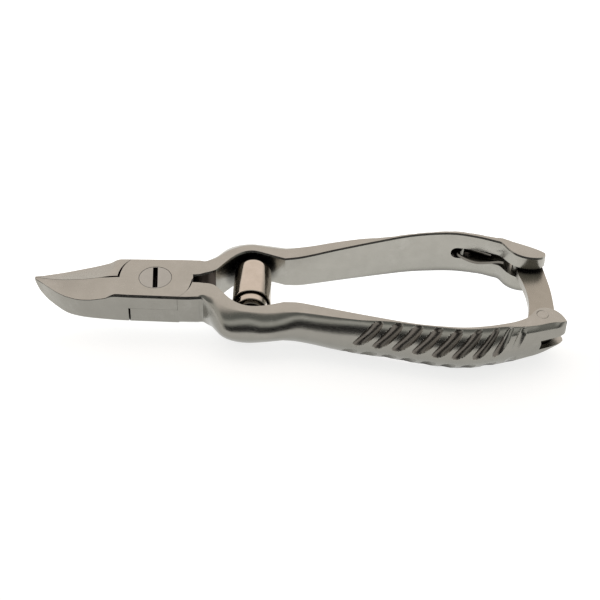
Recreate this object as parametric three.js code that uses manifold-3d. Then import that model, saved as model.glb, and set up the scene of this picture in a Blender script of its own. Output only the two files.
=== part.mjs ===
// Toenail nipper with a lap joint, a barrel spring and a swinging handle lock.
// Millimetres. +X runs from the jaws to the grips, +Y to the back handle, +Z up.
// The origin is on the pivot axis, in the flat underside of the joint.
import * as THREE from "three";
import Module from "manifold-3d";
import { mergeVertices } from "three/addons/utils/BufferGeometryUtils.js";

// ---- driving dimensions -------------------------------------------------
const GAP = 0.3; // running clearance between separate pieces
const JOINT_TOP = 9;
const MID = JOINT_TOP / 2;
const PLATE_R = 9.85;
const SIDE_HALF = 7.65; // half width of the joint at the pivot
const SIDE_FLARE = 0.018; // widening of the joint per mm towards the grips
const CHAMFER = 0.6;
const UNDER_CHAMFER = 0.15;
const SCREW_HEAD_R = 4.33;
const SCREW_HEAD_H = 2.4;
const SCREW_SHANK_R = 2.6;
const SCREW_SLOT_W = 1.5;
const SCREW_FLOOR = 0.9;
const BARREL_X = 25.7;
const SLEEVE_R = 5.15;
const SLEEVE_BORE = 4.65;
const INNER_R = 4.3;
const INNER_BORE = 3.7;
const SLOT_Z0 = 2.7;
const SLOT_Z1 = 6.3;
const FORK_Z1 = 5.7; // roof of the front handle's slot
const BAR_Z0 = 3.0;
const BAR_Z1 = 5.4;
const LOCK_PIN = [101.4, -11.9];
const EYE_R = 3.2;
const LOCK_PIN_R = 1.5;
const CATCH_PIN = [97.6, 14.2];
const CATCH_PIN_R = 1.2;
const CATCH_TOP = 8.6;
const SPRING_PIN = [83.0, 19.9];
const SPRING_PIN_R = 0.8;
const SPRING_PIN_TOP = 8.6;
const GROOVES = 9;
const GROOVE_PITCH = 5.06;
const GROOVE_START = 53.6;
const GROOVE_LEAN = 5.6; // reach along X from a flute's middle to its upper end
const GROOVE_LIFT = 0.6; // how far the cutter's centre stands off the surface
const GROOVE_R = 1.5;

// Handle stations: x, inner face y, top land width, outer face y, half height.
const BOW = [
  [5.5, 1.3, 5.8, 7.6, 4.5],
  [9.0, 1.3, 5.8, 7.6, 4.5],
  [11.5, 1.4, 5.5, 7.5, 4.6],
  [13.0, 1.8, 5.0, 7.7, 4.8],
  [14.6, 2.2, 5.0, 10.1, 5.0],
  [16.2, 3.1, 4.9, 12.9, 5.1],
  [18.0, 5.4, 3.8, 15.5, 5.25],
  [20.0, 7.9, 3.0, 16.85, 5.3],
  [22.5, 10.0, 2.6, 17.35, 5.35],
  [25.5, 10.9, 2.4, 17.4, 5.3],
  [29.0, 10.3, 2.7, 17.4, 4.95],
  [32.0, 9.3, 3.4, 16.95, 4.8],
  [34.3, 8.5, 4.0, 16.4, 4.8],
];
const GRIP = [
  [34.3, 8.5, 4.0, 16.4, 4.8],
  [38.0, 8.9, 4.1, 15.95, 5.1],
  [42.0, 10.0, 3.7, 16.75, 5.3],
  [47.0, 11.6, 3.3, 17.9, 5.6],
  [53.0, 13.4, 2.7, 18.9, 5.9],
  [60.0, 15.4, 1.8, 20.1, 6.25],
  [68.0, 17.5, 1.3, 21.6, 6.6],
  [75.0, 18.5, 1.0, 22.95, 6.8],
  [81.0, 18.7, 1.0, 23.3, 6.8],
  [87.0, 17.7, 1.1, 22.6, 6.6],
  [91.5, 16.4, 1.5, 21.0, 6.4],
];
const FRONT_END = [
  [94.0, 15.3, 2.2, 19.9, 6.1],
  [97.0, 13.5, 3.4, 18.9, 5.8],
  [98.5, 11.9, 4.6, 18.4, 5.7],
  [100.0, 9.9, 6.2, 17.9, 5.6],
  [101.5, 9.0, 6.5, 17.35, 5.5],
  [103.0, 8.9, 6.0, 16.8, 5.4],
  [104.8, 9.4, 4.9, 16.1, 5.2],
  [106.2, 10.6, 3.6, 15.4, 5.1],
  [107.2, 12.2, 1.6, 14.6, 5.0],
  [107.6, 13.2, 0.4, 14.0, 4.9],
];
const BACK_END = [
  [93.2, 15.7, 2.2, 20.4, 6.3],
  [94.8, 13.3, 4.0, 19.8, 6.2],
  [96.6, 11.6, 5.0, 19.1, 6.0],
  [99.0, 10.6, 5.2, 18.1, 5.8],
  [101.6, 10.4, 4.4, 16.9, 5.6],
  [103.6, 10.9, 3.0, 15.4, 5.4],
  [104.7, 12.0, 1.2, 14.0, 5.3],
];

// The lower half's height as a share of the upper half's: x, share.
const FRONT_UNDER = [[34.3, 1], [94, 1], [97.5, 0.94], [100, 0.91], [102, 0.86], [103.5, 0.77], [105, 0.64], [106.2, 0.5], [107.2, 0.38], [107.6, 0.33]];
const BACK_UNDER = [[34.3, 1], [88, 1], [92, 1.05], [96, 1.1], [100, 1.1], [104.7, 1]];

// Jaw stations: x, cutting edge z, side y, side z, under z, relief y.
const JAW = [
  [-32.0, 8.0, 0.45, 7.95, 7.2, 0.1],
  [-31.6, 7.9, 0.7, 7.8, 6.0, 0.3],
  [-31.0, 7.75, 1.0, 7.65, 4.6, 0.6],
  [-30.0, 7.6, 1.5, 7.45, 3.3, 0.9],
  [-28.6, 7.4, 2.3, 7.1, 2.2, 1.2],
  [-26.0, 7.2, 3.7, 6.5, 1.0, 1.6],
  [-23.2, 7.2, 5.0, 6.05, 0.1, 1.9],
  [-20.0, 7.4, 6.1, 6.05, 0.0, 2.1],
  [-17.0, 7.8, 6.7, 6.5, 0.0, 1.9],
  [-14.5, 8.3, 7.05, 7.1, 0.0, 1.2],
  [-12.4, 8.9, 7.2, 7.9, 0.0, 0.5],
  [-10.8, 9.0, 7.35, 8.5, 0.0, 0.15],
  [-6.0, 9.0, 7.55, 8.5, 0.0, 0.15],
];

// ---- solids ------------------------------------------------------------
const wasm = await Module();
wasm.setup();

function solid(geometry) {
  let g = geometry.clone();
  g.deleteAttribute("normal");
  g.deleteAttribute("uv");
  g = mergeVertices(g, 1e-5);
  const mesh = new wasm.Mesh({
    numProp: 3,
    vertProperties: Float32Array.from(g.attributes.position.array),
    triVerts: Uint32Array.from(g.index.array),
  });
  return new wasm.Manifold(mesh);
}

function rings(sections) {
  const n = sections[0].length;
  const pos = sections.flat(2);
  const idx = [];
  for (let i = 0; i + 1 < sections.length; i++) {
    for (let j = 0; j < n; j++) {
      const a = i * n + j;
      const b = i * n + ((j + 1) % n);
      idx.push(a, a + n, b, b, a + n, b + n);
    }
  }
  const last = (sections.length - 1) * n;
  const ends = [0, last];
  for (const base of ends) {
    const flat = sections[base === 0 ? 0 : sections.length - 1];
    const u = new THREE.Vector3(...flat[1]).sub(new THREE.Vector3(...flat[0]));
    const w = new THREE.Vector3();
    let normal = new THREE.Vector3();
    for (let j = 2; j < n; j++) {
      w.set(...flat[j]).sub(new THREE.Vector3(...flat[0]));
      const c = new THREE.Vector3().crossVectors(u, w);
      if (c.length() > normal.length()) normal = c;
    }
    normal.normalize();
    const ax = new THREE.Vector3(1, 0, 0);
    if (Math.abs(normal.x) > 0.7) ax.set(0, 1, 0);
    ax.sub(normal.clone().multiplyScalar(ax.dot(normal))).normalize();
    const ay = new THREE.Vector3().crossVectors(normal, ax);
    const loop = flat.map((p) => new THREE.Vector2(ax.dot(new THREE.Vector3(...p)), ay.dot(new THREE.Vector3(...p))));
    const faces = THREE.ShapeUtils.triangulateShape(loop, []);
    const area = THREE.ShapeUtils.area(loop);
    for (const f of faces) {
      const turn = THREE.ShapeUtils.area(f.map((j) => loop[j]));
      const keep = turn * area > 0 === (base === 0);
      idx.push(base + f[0], base + f[keep ? 1 : 2], base + f[keep ? 2 : 1]);
    }
  }
  const g = new THREE.BufferGeometry();
  g.setAttribute("position", new THREE.Float32BufferAttribute(pos, 3));
  g.setIndex(idx);
  return g;
}

function signedVolume(g) {
  const p = g.attributes.position;
  const i = g.index;
  const a = new THREE.Vector3();
  const b = new THREE.Vector3();
  const c = new THREE.Vector3();
  let v = 0;
  for (let t = 0; t < i.count; t += 3) {
    a.fromBufferAttribute(p, i.getX(t));
    b.fromBufferAttribute(p, i.getX(t + 1));
    c.fromBufferAttribute(p, i.getX(t + 2));
    v += a.dot(b.clone().cross(c));
  }
  return v / 6;
}

function outward(g) {
  if (signedVolume(g) > 0) return g;
  const i = g.index.array;
  for (let t = 0; t < i.length; t += 3) {
    const keep = i[t + 1];
    i[t + 1] = i[t + 2];
    i[t + 2] = keep;
  }
  return g;
}

const loft = (sections) => solid(outward(rings(sections)));

function prism(points, z0, z1) {
  const shape = new THREE.Shape(points.map((p) => new THREE.Vector2(p[0], p[1])));
  const g = new THREE.ExtrudeGeometry(shape, { depth: z1 - z0, bevelEnabled: false });
  g.translate(0, 0, z0);
  return solid(g);
}

function circle(cx, cy, r, steps = 32) {
  const out = [];
  for (let i = 0; i < steps; i++) {
    const a = (2 * Math.PI * i) / steps;
    out.push([cx + r * Math.cos(a), cy + r * Math.sin(a)]);
  }
  return out;
}

const rod = (cx, cy, r, z0, z1, steps = 32) => prism(circle(cx, cy, r, steps), z0, z1);

function box(x0, x1, y0, y1, z0, z1) {
  const g = new THREE.BoxGeometry(x1 - x0, y1 - y0, z1 - z0);
  g.translate((x0 + x1) / 2, (y0 + y1) / 2, (z0 + z1) / 2);
  return solid(g);
}

// A body turned about a line along Y at the barrel's centre.
function turned(profile, steps = 32) {
  const g = new THREE.LatheGeometry(profile.map((p) => new THREE.Vector2(p[0], p[1])), steps);
  g.translate(BARREL_X, 0, MID);
  return solid(outward(mergeVertices(stripped(g), 1e-5)));
}

function stripped(g) {
  const out = g.clone();
  out.deleteAttribute("normal");
  out.deleteAttribute("uv");
  return out;
}

// A round bar swept through points, closed at both ends.
function swept(path, radius, sides = 8) {
  const pts = path.map((p) => new THREE.Vector3(...p));
  const up = new THREE.Vector3(0, 0, 1);
  const sections = pts.map((p, i) => {
    const a = pts[Math.max(0, i - 1)];
    const b = pts[Math.min(pts.length - 1, i + 1)];
    const t = b.clone().sub(a).normalize();
    const ref = Math.abs(t.z) > 0.9 ? new THREE.Vector3(1, 0, 0) : up;
    const u = new THREE.Vector3().crossVectors(ref, t).normalize();
    const w = new THREE.Vector3().crossVectors(t, u);
    const ring = [];
    for (let k = 0; k < sides; k++) {
      const ang = (2 * Math.PI * k) / sides;
      const q = p.clone().addScaledVector(u, radius * Math.cos(ang)).addScaledVector(w, radius * Math.sin(ang));
      ring.push([q.x, q.y, q.z]);
    }
    return ring;
  });
  return loft(sections);
}

// ---- tables ------------------------------------------------------------
function sample(table, x) {
  let i = 0;
  while (i < table.length - 2 && x > table[i + 1][0]) i++;
  const a = table[Math.max(0, i - 1)];
  const b = table[i];
  const c = table[i + 1];
  const d = table[Math.min(table.length - 1, i + 2)];
  const h = c[0] - b[0];
  const t = (x - b[0]) / h;
  return b.slice(1).map((_, k) => {
    const j = k + 1;
    const mb = b === a ? (c[j] - b[j]) / h : (c[j] - a[j]) / (c[0] - a[0]);
    const mc = c === d ? (c[j] - b[j]) / h : (d[j] - b[j]) / (d[0] - b[0]);
    const t2 = t * t;
    const t3 = t2 * t;
    const p = (2 * t3 - 3 * t2 + 1) * b[j] + (t3 - 2 * t2 + t) * h * mb;
    return p + (3 * t2 - 2 * t3) * c[j] + (t3 - t2) * h * mc;
  });
}

function stations(table, step) {
  const out = [];
  for (let i = 0; i + 1 < table.length; i++) {
    const n = Math.max(1, Math.round((table[i + 1][0] - table[i][0]) / step));
    for (let k = 0; k < n; k++) out.push(table[i][0] + ((table[i + 1][0] - table[i][0]) * k) / n);
  }
  out.push(table[table.length - 1][0]);
  return out;
}

function ramp(x, a, b) {
  const t = Math.min(1, Math.max(0, (x - a) / (b - a)));
  return t * t * (3 - 2 * t);
}

// D-shaped handle section: flat inner face, flat lands, crowned outside.
function handleSection(x, row, side, under = 1) {
  const [inner, land, outer, half] = row;
  const deep = half * under;
  const c = 0.45;
  const pts = [
    [inner, -deep + c],
    [inner, half - c],
    [inner + c, half],
    [inner + Math.max(land, c + 0.2), half],
  ];
  const crown = outer - pts[3][0];
  const arcs = 7;
  for (let k = 1; k < arcs * 2; k++) {
    const a = (Math.PI / 2) * (1 - k / arcs);
    pts.push([pts[3][0] + crown * Math.cos(a), (a < 0 ? deep : half) * Math.sin(a)]);
  }
  pts.push([pts[3][0], -deep]);
  pts.push([inner + c, -deep]);
  return pts.map((p) => [x, side * p[0], MID + p[1]]);
}

function handle(end, under, side) {
  const grip = GRIP.concat(end);
  const depth = (x) => sample(under, x)[0];
  const bow = stations(BOW, 1.6).map((x) => handleSection(x, sample(BOW, x), side));
  const bar = stations(grip, 2.2).slice(1).map((x) => handleSection(x, sample(grip, x), side, depth(x)));
  let body = loft(bow.concat(bar));
  for (let k = 0; k < GROOVES; k++) {
    const path = [];
    for (let a = -81; a <= 81; a += 18) {
      const s = Math.sin((a * Math.PI) / 180);
      const middle = GROOVE_START + GROOVE_PITCH * k;
      const lean = GROOVE_LEAN * (1 - ramp(middle, 80, 104)) * (s < 0 ? 0.5 : 1);
      const x = middle + lean * s;
      const [inner, land, outer, half] = sample(grip, x);
      const c = Math.cos((a * Math.PI) / 180);
      const lift = GROOVE_LIFT + Math.max(0, s - 0.6) * 2;
      const y = inner + land + (outer - inner - land + lift) * c;
      path.push([x, side * y, MID + (half * (s < 0 ? depth(x) : 1) + lift) * s]);
    }
    body = body.subtract(swept(path, GROOVE_R, 7));
  }
  return body;
}

function jaw(side) {
  const edge = GAP / 2;
  const sections = stations(JAW, 1.5).map((x) => {
    const [ze, sy, sz, zb, relief] = sample(JAW, x);
    const c = Math.min(UNDER_CHAMFER, 0.2 * (sz - zb), 0.25 * (sy - edge));
    const r = Math.min(relief, 0.6 * (sy - c - edge));
    const b = Math.min(0.3, 0.2 * (sy - edge));
    const pts = [
      [edge, ze],
      [edge, ze - 0.35 * (ze - zb)],
      [edge + r * 0.6, ze - 0.6 * (ze - zb)],
      [edge + r, zb],
      [sy - c, zb],
      [sy, zb + c],
      [sy, sz - b],
      [sy - b, sz + 0.02],
      [edge + 0.62 * (sy - edge), sz + 0.28 * (ze - sz)],
      [edge + 0.28 * (sy - edge), sz + 0.62 * (ze - sz)],
    ];
    return pts.map((p) => [x, side * p[0], p[1]]);
  });
  return loft(sections);
}

// The round joint plate, trimmed to the joint's sides and chamfered.
function plate(z0, z1, chamferZ) {
  const w = (x) => SIDE_HALF + SIDE_FLARE * x;
  const strip = [[-11, -w(-11)], [13, -w(13)], [13, w(13)], [-11, w(-11)]];
  let body = rod(0, 0, PLATE_R, z0, z1, 64).intersect(prism(strip, z0 - 1, z1 + 1));
  return chamfered(body, chamferZ);
}

function chamfered(body, z) {
  const dir = z > MID ? -1 : 1;
  const c = z > MID ? CHAMFER : UNDER_CHAMFER;
  for (const side of [-1, 1]) {
    const cut = [];
    for (const x of [-11, 13]) {
      const y = side * (SIDE_HALF + SIDE_FLARE * x);
      cut.push([
        [x, y - side * c, z],
        [x, y - side * c, z - dir * 2],
        [x, y + side * 2, z - dir * 2],
        [x, y + side * 2, z + dir * c],
        [x, y, z + dir * c],
      ]);
    }
    body = body.subtract(loft(cut));
  }
  return body;
}

// ---- levers ------------------------------------------------------------
const SHOULDER = PLATE_R + GAP;
const UPPER_Z = MID + GAP / 2;
const LOWER_Z = MID - GAP / 2;

function joinLever(jawSide, end, under, z0, z1, chamferZ) {
  const other = chamferZ > MID ? [-5, UPPER_Z] : [LOWER_Z, 20];
  const cut = rod(0, 0, SHOULDER, other[0], other[1], 64);
  const arms = jaw(jawSide).add(handle(end, under, -jawSide));
  return arms.subtract(cut).add(plate(z0, z1, chamferZ));
}

const frontSlot = [
  [97.1, -4], [97.1, -14.5], [97.9, -15.9], [99.4, -17.2], [101.8, -17.6], [101.8, -26], [116, -26], [116, -4],
];
const backSlot = [
  [79.8, 4], [79.8, 22.05], [84, 21.85], [87, 21.3], [91.5, 20], [94.5, 18.9], [96.5, 18.1], [96.5, 30], [112, 30], [112, 4],
];
const slotWindow = [[81.5, 4], [81.5, 30], [88, 30], [88, 4]];

let lower = joinLever(1, FRONT_END, FRONT_UNDER, 0, LOWER_Z, 0);
lower = lower.subtract(rod(0, 0, SCREW_SHANK_R + GAP, SCREW_FLOOR - GAP, 20));
lower = lower.subtract(prism(frontSlot, SLOT_Z0, FORK_Z1));
lower = lower.subtract(rod(...LOCK_PIN, LOCK_PIN_R + GAP, -9, 18));

let upper = joinLever(-1, BACK_END, BACK_UNDER, UPPER_Z, JOINT_TOP, JOINT_TOP);
upper = upper.subtract(rod(0, 0, SCREW_SHANK_R + GAP, -1, 20));
upper = upper.subtract(rod(0, 0, SCREW_HEAD_R + GAP, JOINT_TOP - SCREW_HEAD_H - GAP, 20, 48));
upper = upper.subtract(prism(backSlot, SLOT_Z0, SLOT_Z1)).subtract(prism(slotWindow, SLOT_Z0, 4.4));
upper = upper.subtract(rod(...CATCH_PIN, CATCH_PIN_R + GAP, -9, CATCH_TOP + GAP));
upper = upper.subtract(rod(...SPRING_PIN, SPRING_PIN_R + GAP, -9, SPRING_PIN_TOP + GAP, 20));

// ---- barrel ------------------------------------------------------------
const BORE_Y = 13.2; // depth of the stud holes in the bows
function studHole(side) {
  const r = 1.5 + GAP;
  const y0 = side > 0 ? 9 : -BORE_Y - GAP;
  return turned([[0, y0], [r, y0], [r, y0 + 4.2 + GAP], [0, y0 + 4.2 + GAP]], 24);
}
upper = upper.subtract(studHole(1));
lower = lower.subtract(studHole(-1));

function stud(side) {
  const p = [[0, 7.7], [1.2, 7.7], [1.9, 8.3], [1.9, 9.6], [1.5, 10.0], [1.5, BORE_Y], [0, BORE_Y]];
  return turned(side > 0 ? p : p.map((q) => [q[0], -q[1]]).reverse(), 24);
}

const outerSleeve = turned([
  [SLEEVE_BORE, -4.8], [SLEEVE_R - 0.15, -4.8], [SLEEVE_R, -4.6], [SLEEVE_R, -1], [5.0, 6.8], [4.75, 7.9],
  [4.35, 8.55], [3.75, 9.0], [3.1, 9.3], [2.65, 9.4], [2.65, 8.5], [3.2, 8.3], [4.1, 7.3], [SLEEVE_BORE, 6.2],
  [SLEEVE_BORE, -4.8],
]);
const innerSleeve = turned([
  [INNER_BORE, 4.6], [INNER_BORE, -6.2], [2.5, -6.5], [2.5, -8.3], [3.4, -8.3], [3.6, -8.1], [3.6, -7.5],
  [INNER_R - 0.2, -7.3], [INNER_R, -7.1], [INNER_R, 4.6], [INNER_BORE, 4.6],
]);

const coil = [];
for (let k = 0; k <= 84; k++) {
  const a = (2 * Math.PI * k) / 12;
  coil.push([BARREL_X + 2.9 * Math.cos(a), -5.6 + (12.6 * k) / 84, MID + 2.9 * Math.sin(a)]);
}

// ---- screw -------------------------------------------------------------
let screw = rod(0, 0, SCREW_SHANK_R, SCREW_FLOOR, JOINT_TOP - 1);
const headRim = [[0, JOINT_TOP - SCREW_HEAD_H], [SCREW_HEAD_R, JOINT_TOP - SCREW_HEAD_H]];
headRim.push([SCREW_HEAD_R, JOINT_TOP - 0.2], [SCREW_HEAD_R - 0.2, JOINT_TOP], [0, JOINT_TOP]);
const head = new THREE.LatheGeometry(headRim.map((p) => new THREE.Vector2(p[0], p[1])), 48);
head.rotateX(Math.PI / 2);
screw = screw.add(solid(outward(mergeVertices(stripped(head), 1e-5))));
const driverSlot = box(-SCREW_SLOT_W / 2, SCREW_SLOT_W / 2, -6, 6, JOINT_TOP - 0.9, 12);
screw = screw.subtract(driverSlot.rotate([0, 0, 4]));

// ---- lock --------------------------------------------------------------
const barPlan = [];
for (let k = 0; k <= 12; k++) {
  const a = Math.PI * (0.93 + (1.14 * k) / 12);
  barPlan.push([LOCK_PIN[0] + EYE_R * Math.cos(a), LOCK_PIN[1] + EYE_R * Math.sin(a)]);
}
barPlan.push([105.6, -8.5], [105.8, -4.5], [105.75, 0], [105.5, 4], [105.0, 8], [104.6, 11], [104.2, 13.6]);
barPlan.push([103.4, 15.6], [102.2, 16.9], [100.6, 17.3], [99.2, 17.0], [99.1, 16.4], [100.3, 15.9]);
barPlan.push([100.7, 14.8], [100.3, 13.2], [99.2, 12.3], [97.8, 12.1], [97.3, 11.0], [97.7, 8.6], [98.5, 5.4]);
barPlan.push([99.1, 2.0], [99.3, -1.5], [99.1, -5.0], [98.4, -8.5]);
const lockBar = prism(barPlan, BAR_Z0, BAR_Z1).subtract(rod(...LOCK_PIN, LOCK_PIN_R + GAP, 0, 9));

const lockPin = rod(...LOCK_PIN, LOCK_PIN_R, -1.1, 10.1);
const catchPin = rod(...CATCH_PIN, CATCH_PIN_R, -1.3, CATCH_TOP, 24);
const springPin = rod(...SPRING_PIN, SPRING_PIN_R, -1.8, SPRING_PIN_TOP, 20);

// A strip bent round the spring pin: its front leg bows out of the slot.
const leafLine = [
  [94.2, 15.3], [92.7, 15.65], [90, 15.2], [87, 15.05], [84.6, 15.9], [82.8, 17.3], [81.6, 18.7], [81.35, 20.1],
  [82.0, 21.1], [83.2, 21.35], [85, 20.75], [88, 19.6], [91, 18.3],
];
function strip(line, half) {
  const left = [];
  const right = [];
  line.forEach((p, i) => {
    const a = line[Math.max(0, i - 1)];
    const b = line[Math.min(line.length - 1, i + 1)];
    const l = Math.hypot(b[0] - a[0], b[1] - a[1]);
    const n = [(-(b[1] - a[1]) / l) * half, ((b[0] - a[0]) / l) * half];
    left.push([p[0] + n[0], p[1] + n[1]]);
    right.push([p[0] - n[0], p[1] - n[1]]);
  });
  return left.concat(right.reverse());
}
const lockSpring = prism(strip(leafLine, 0.22), 3.7, 4.9);

// ---- meshes ------------------------------------------------------------
const group = new THREE.Group();
const STEEL = { color: 0xb9b8b2, metalness: 0.9, roughness: 0.35 };
const BRIGHT = { color: 0xd4d2cb, metalness: 0.95, roughness: 0.2 };

function place(name, body, look) {
  const m = body.getMesh();
  const g = new THREE.BufferGeometry();
  g.setAttribute("position", new THREE.BufferAttribute(new Float32Array(m.vertProperties), 3));
  g.setIndex(new THREE.BufferAttribute(new Uint32Array(m.triVerts), 1));
  g.computeVertexNormals();
  const mesh = new THREE.Mesh(g, new THREE.MeshStandardMaterial(look));
  mesh.name = name;
  group.add(mesh);
}

place("lower_lever", lower, STEEL);
place("upper_lever", upper, STEEL);
place("pivot_screw", screw, BRIGHT);
place("outer_sleeve", outerSleeve, BRIGHT);
place("inner_sleeve", innerSleeve, BRIGHT);
place("barrel_spring", swept(coil, 0.4, 5), BRIGHT);
place("back_stud", stud(1), BRIGHT);
place("front_stud", stud(-1), BRIGHT);
place("lock_bar", lockBar, STEEL);
place("lock_bar_pin", lockPin, BRIGHT);
place("catch_pin", catchPin, BRIGHT);
place("lock_spring", lockSpring, BRIGHT);
place("lock_spring_pin", springPin, BRIGHT);

export default group;
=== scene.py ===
"""Looks of a toenail nipper in satin and polished steel.

Two forged levers cross in a lap joint. A barrel spring sits between their bows, and a lock bar swings
across the handle ends. Lengths are millimetres until a mesh is made. The frame is the CAD's own: the origin
is on the pivot axis at the joint's flat underside, X runs to the grips, Y to the back handle and Z up.
"""

import math

import bmesh
import bpy
import numpy as np
from mathutils import Matrix, Vector


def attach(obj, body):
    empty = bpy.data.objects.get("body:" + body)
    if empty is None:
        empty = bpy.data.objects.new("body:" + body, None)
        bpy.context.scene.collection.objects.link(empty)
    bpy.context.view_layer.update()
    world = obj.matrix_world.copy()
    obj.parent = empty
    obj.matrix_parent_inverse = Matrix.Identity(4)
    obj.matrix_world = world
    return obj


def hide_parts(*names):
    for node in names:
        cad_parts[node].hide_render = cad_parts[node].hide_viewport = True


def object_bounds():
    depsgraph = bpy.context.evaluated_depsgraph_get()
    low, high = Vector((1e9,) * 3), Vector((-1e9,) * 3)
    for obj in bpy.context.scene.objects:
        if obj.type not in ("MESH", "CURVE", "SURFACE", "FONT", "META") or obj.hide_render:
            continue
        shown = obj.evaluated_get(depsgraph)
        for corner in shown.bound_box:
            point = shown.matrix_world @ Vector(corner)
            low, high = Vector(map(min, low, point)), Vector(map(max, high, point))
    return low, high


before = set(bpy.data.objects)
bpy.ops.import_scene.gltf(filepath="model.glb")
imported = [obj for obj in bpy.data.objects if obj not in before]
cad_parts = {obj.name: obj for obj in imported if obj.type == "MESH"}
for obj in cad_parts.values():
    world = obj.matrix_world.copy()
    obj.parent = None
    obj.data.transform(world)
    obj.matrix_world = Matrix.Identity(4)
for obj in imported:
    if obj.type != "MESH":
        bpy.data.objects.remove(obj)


def as_lists(bounds):
    return [[float(v) for v in corner] for corner in bounds]


cad_box = as_lists(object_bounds())

MM = 0.001

# The lap joint.
MID = 4.5  # height of the parting plane
TOP = 9.0
LAP = 0.015  # half of the gap between the two plates
PLATE_R = 10.0
PLATE_ENDS = (-11, 13)
SHOULDER_R = 10.05  # round space that each lever leaves for the other's plate
SIDE_HALF = 7.65  # half the width at the pivot axis
SIDE_FLARE = 0.018  # what the half width gains per millimetre along X
CHAMFER = (0.36, 0.72)  # across and down
JAW_GAP = (0.05, 0.28)  # from the middle plane to a jaw's inner face, along the blade and by the joint

# The pivot screw, the pins with their places in x and y, and the gap that a bore leaves round its pin.
SCREW_SHANK_R = 2.6
SCREW_HEAD_R = 4.33
SCREW_HEAD_Z = 6.6  # underside of the head
DRIVER_TURN = math.radians(4)  # the driver slot's turn away from Y
LOCK_PIN, LOCK_PIN_R = (101.4, -11.9), 1.5
CATCH_PIN, CATCH_PIN_R = (97.6, 14.2), 1.2
SPRING_PIN, SPRING_PIN_R = (83.0, 19.9), 0.8
PIN_GAP = 0.06

# The barrel between the bows.
BARREL_X = 25.7
BARREL_AT = (BARREL_X, 0, MID)
STUD_BORE_R = 1.62
STUD_BORE_Y = (9.0, 13.5)
COIL_TURNS = 7
COIL_STEPS = 28  # points in a turn
COIL_R = 2.9
COIL_Y = (-5.6, 7.0)
WIRE_R = 0.4

# The grips and their flutes. FLUTE_ACROSS is the width across a flute per millimetre along X.
GRIP_X = 34.3
FLUTE_START = 53.6
FLUTE_PITCH = 5.06
FLUTE_LEAN = 5.6  # how far a flute slants along X between the middle and the land
FLUTE_ACROSS = 0.87
FLUTE_R = 1.75
FLUTE_TILT = math.radians(24)  # the flutes are cut from this far above the horizontal
FLUTE_DEPTH = [1.02, 1.08, 1.08, 1.08, 1.08, 1.04, 0.9, 0.7, 0.5]
FLUTES = len(FLUTE_DEPTH)
INNER_EDGE = (0.3, 0.48)  # chamfer of a handle's inner face, across and down
LAND_LEAST = 0.55  # width

# Stretches along X over which one shape passes into the next.
JAW_WIDENS = (-15.2, -12)
JAW_SQUARES = (-13, -9.6)
ROOT_ENDS = (11, 16)
LEAN_STARTS, LEAN_ENDS = (GRIP_X, 51), (80, 104)
LAND_NARROWS, LAND_WIDENS = (54, 64), (66, 84)
TAIL_STARTS = (88, 98)

# Where the levers get painted shade, darker materials that stand in for shadow and dark reflections: in the
# upper flutes, and in the notch behind the joint.
FLUTE_SHADE_X, FLUTE_SHADE_LOWEST = (FLUTE_START - 9, 91), -1.9  # the height is from the parting plane
FLUTE_SHADE_DEPTH = 0.14
NOTCH_X, NOTCH_HALF = (8.5, 16.4), 2.9

# Handle stations: x, inner face y, top land width, outer face y, half height.
BOW = [
    (5.5, 1.3, 5.8, 7.6, 4.5), (9, 1.3, 5.8, 7.6, 4.5), (11.5, 1.4, 5.5, 7.5, 4.6), (13, 1.8, 5, 7.7, 4.8),
    (14.6, 2.2, 5, 10.1, 5), (16.2, 3.1, 4.9, 12.9, 5.1), (18, 5.4, 3.8, 15.5, 5.25),
    (20, 7.9, 3, 16.85, 5.3), (22.5, 10, 2.6, 17.35, 5.35), (25.5, 10.9, 2.4, 17.4, 5.3),
    (29, 10.3, 2.7, 17.4, 4.95), (32, 9.3, 3.4, 16.95, 4.8), (GRIP_X, 8.5, 4, 16.4, 4.8),
]
GRIP = [
    BOW[-1], (38, 8.9, 4.1, 15.95, 5.1), (42, 10, 3.7, 16.75, 5.3), (47, 11.6, 3.3, 17.9, 5.6),
    (53, 13.4, 2.7, 18.9, 5.9), (60, 15.4, 1.8, 20.1, 6.25), (68, 17.5, 1.3, 21.6, 6.6),
    (75, 18.5, 1, 22.95, 6.8), (81, 18.7, 1, 23.3, 6.8), (87, 17.7, 1.1, 22.6, 6.6),
    (91.5, 16.4, 1.5, 21, 6.4),
]
FRONT_END = [
    (94, 15.3, 2.2, 19.9, 6.1), (97, 13.5, 3.4, 18.9, 5.8), (98.5, 11.9, 4.6, 18.4, 5.7),
    (100, 9.9, 6.2, 17.9, 5.6), (101.5, 9, 6.5, 17.35, 5.5), (103, 8.9, 6, 16.8, 5.4),
    (104.8, 9.4, 4.9, 16.1, 5.2), (106.2, 10.6, 3.6, 15.4, 5.1), (107.2, 12.2, 1.6, 14.6, 5),
    (107.6, 13.2, 0.4, 14, 4.9),
]
BACK_END = [
    (93.2, 15.7, 2.2, 20.4, 6.3), (94.8, 13.3, 4, 19.8, 6.2), (96.6, 11.6, 5, 19.1, 6),
    (99, 10.6, 5.2, 18.1, 5.8), (101.6, 10.4, 4.4, 16.9, 5.6), (103.6, 10.9, 3, 15.4, 5.4),
    (104.7, 12, 1.2, 14, 5.3),
]
# The lower half's height as a share of the upper half's: x, share.
FRONT_UNDER = [
    (GRIP_X, 1), (94, 1), (97.5, 0.94), (100, 0.91), (102, 0.86), (103.5, 0.77), (105, 0.64), (106.2, 0.5),
    (107.2, 0.38), (107.6, 0.33),
]
BACK_UNDER = [(GRIP_X, 1), (88, 1), (92, 1.05), (96, 1.1), (100, 1.1), (104.7, 1)]
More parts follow.
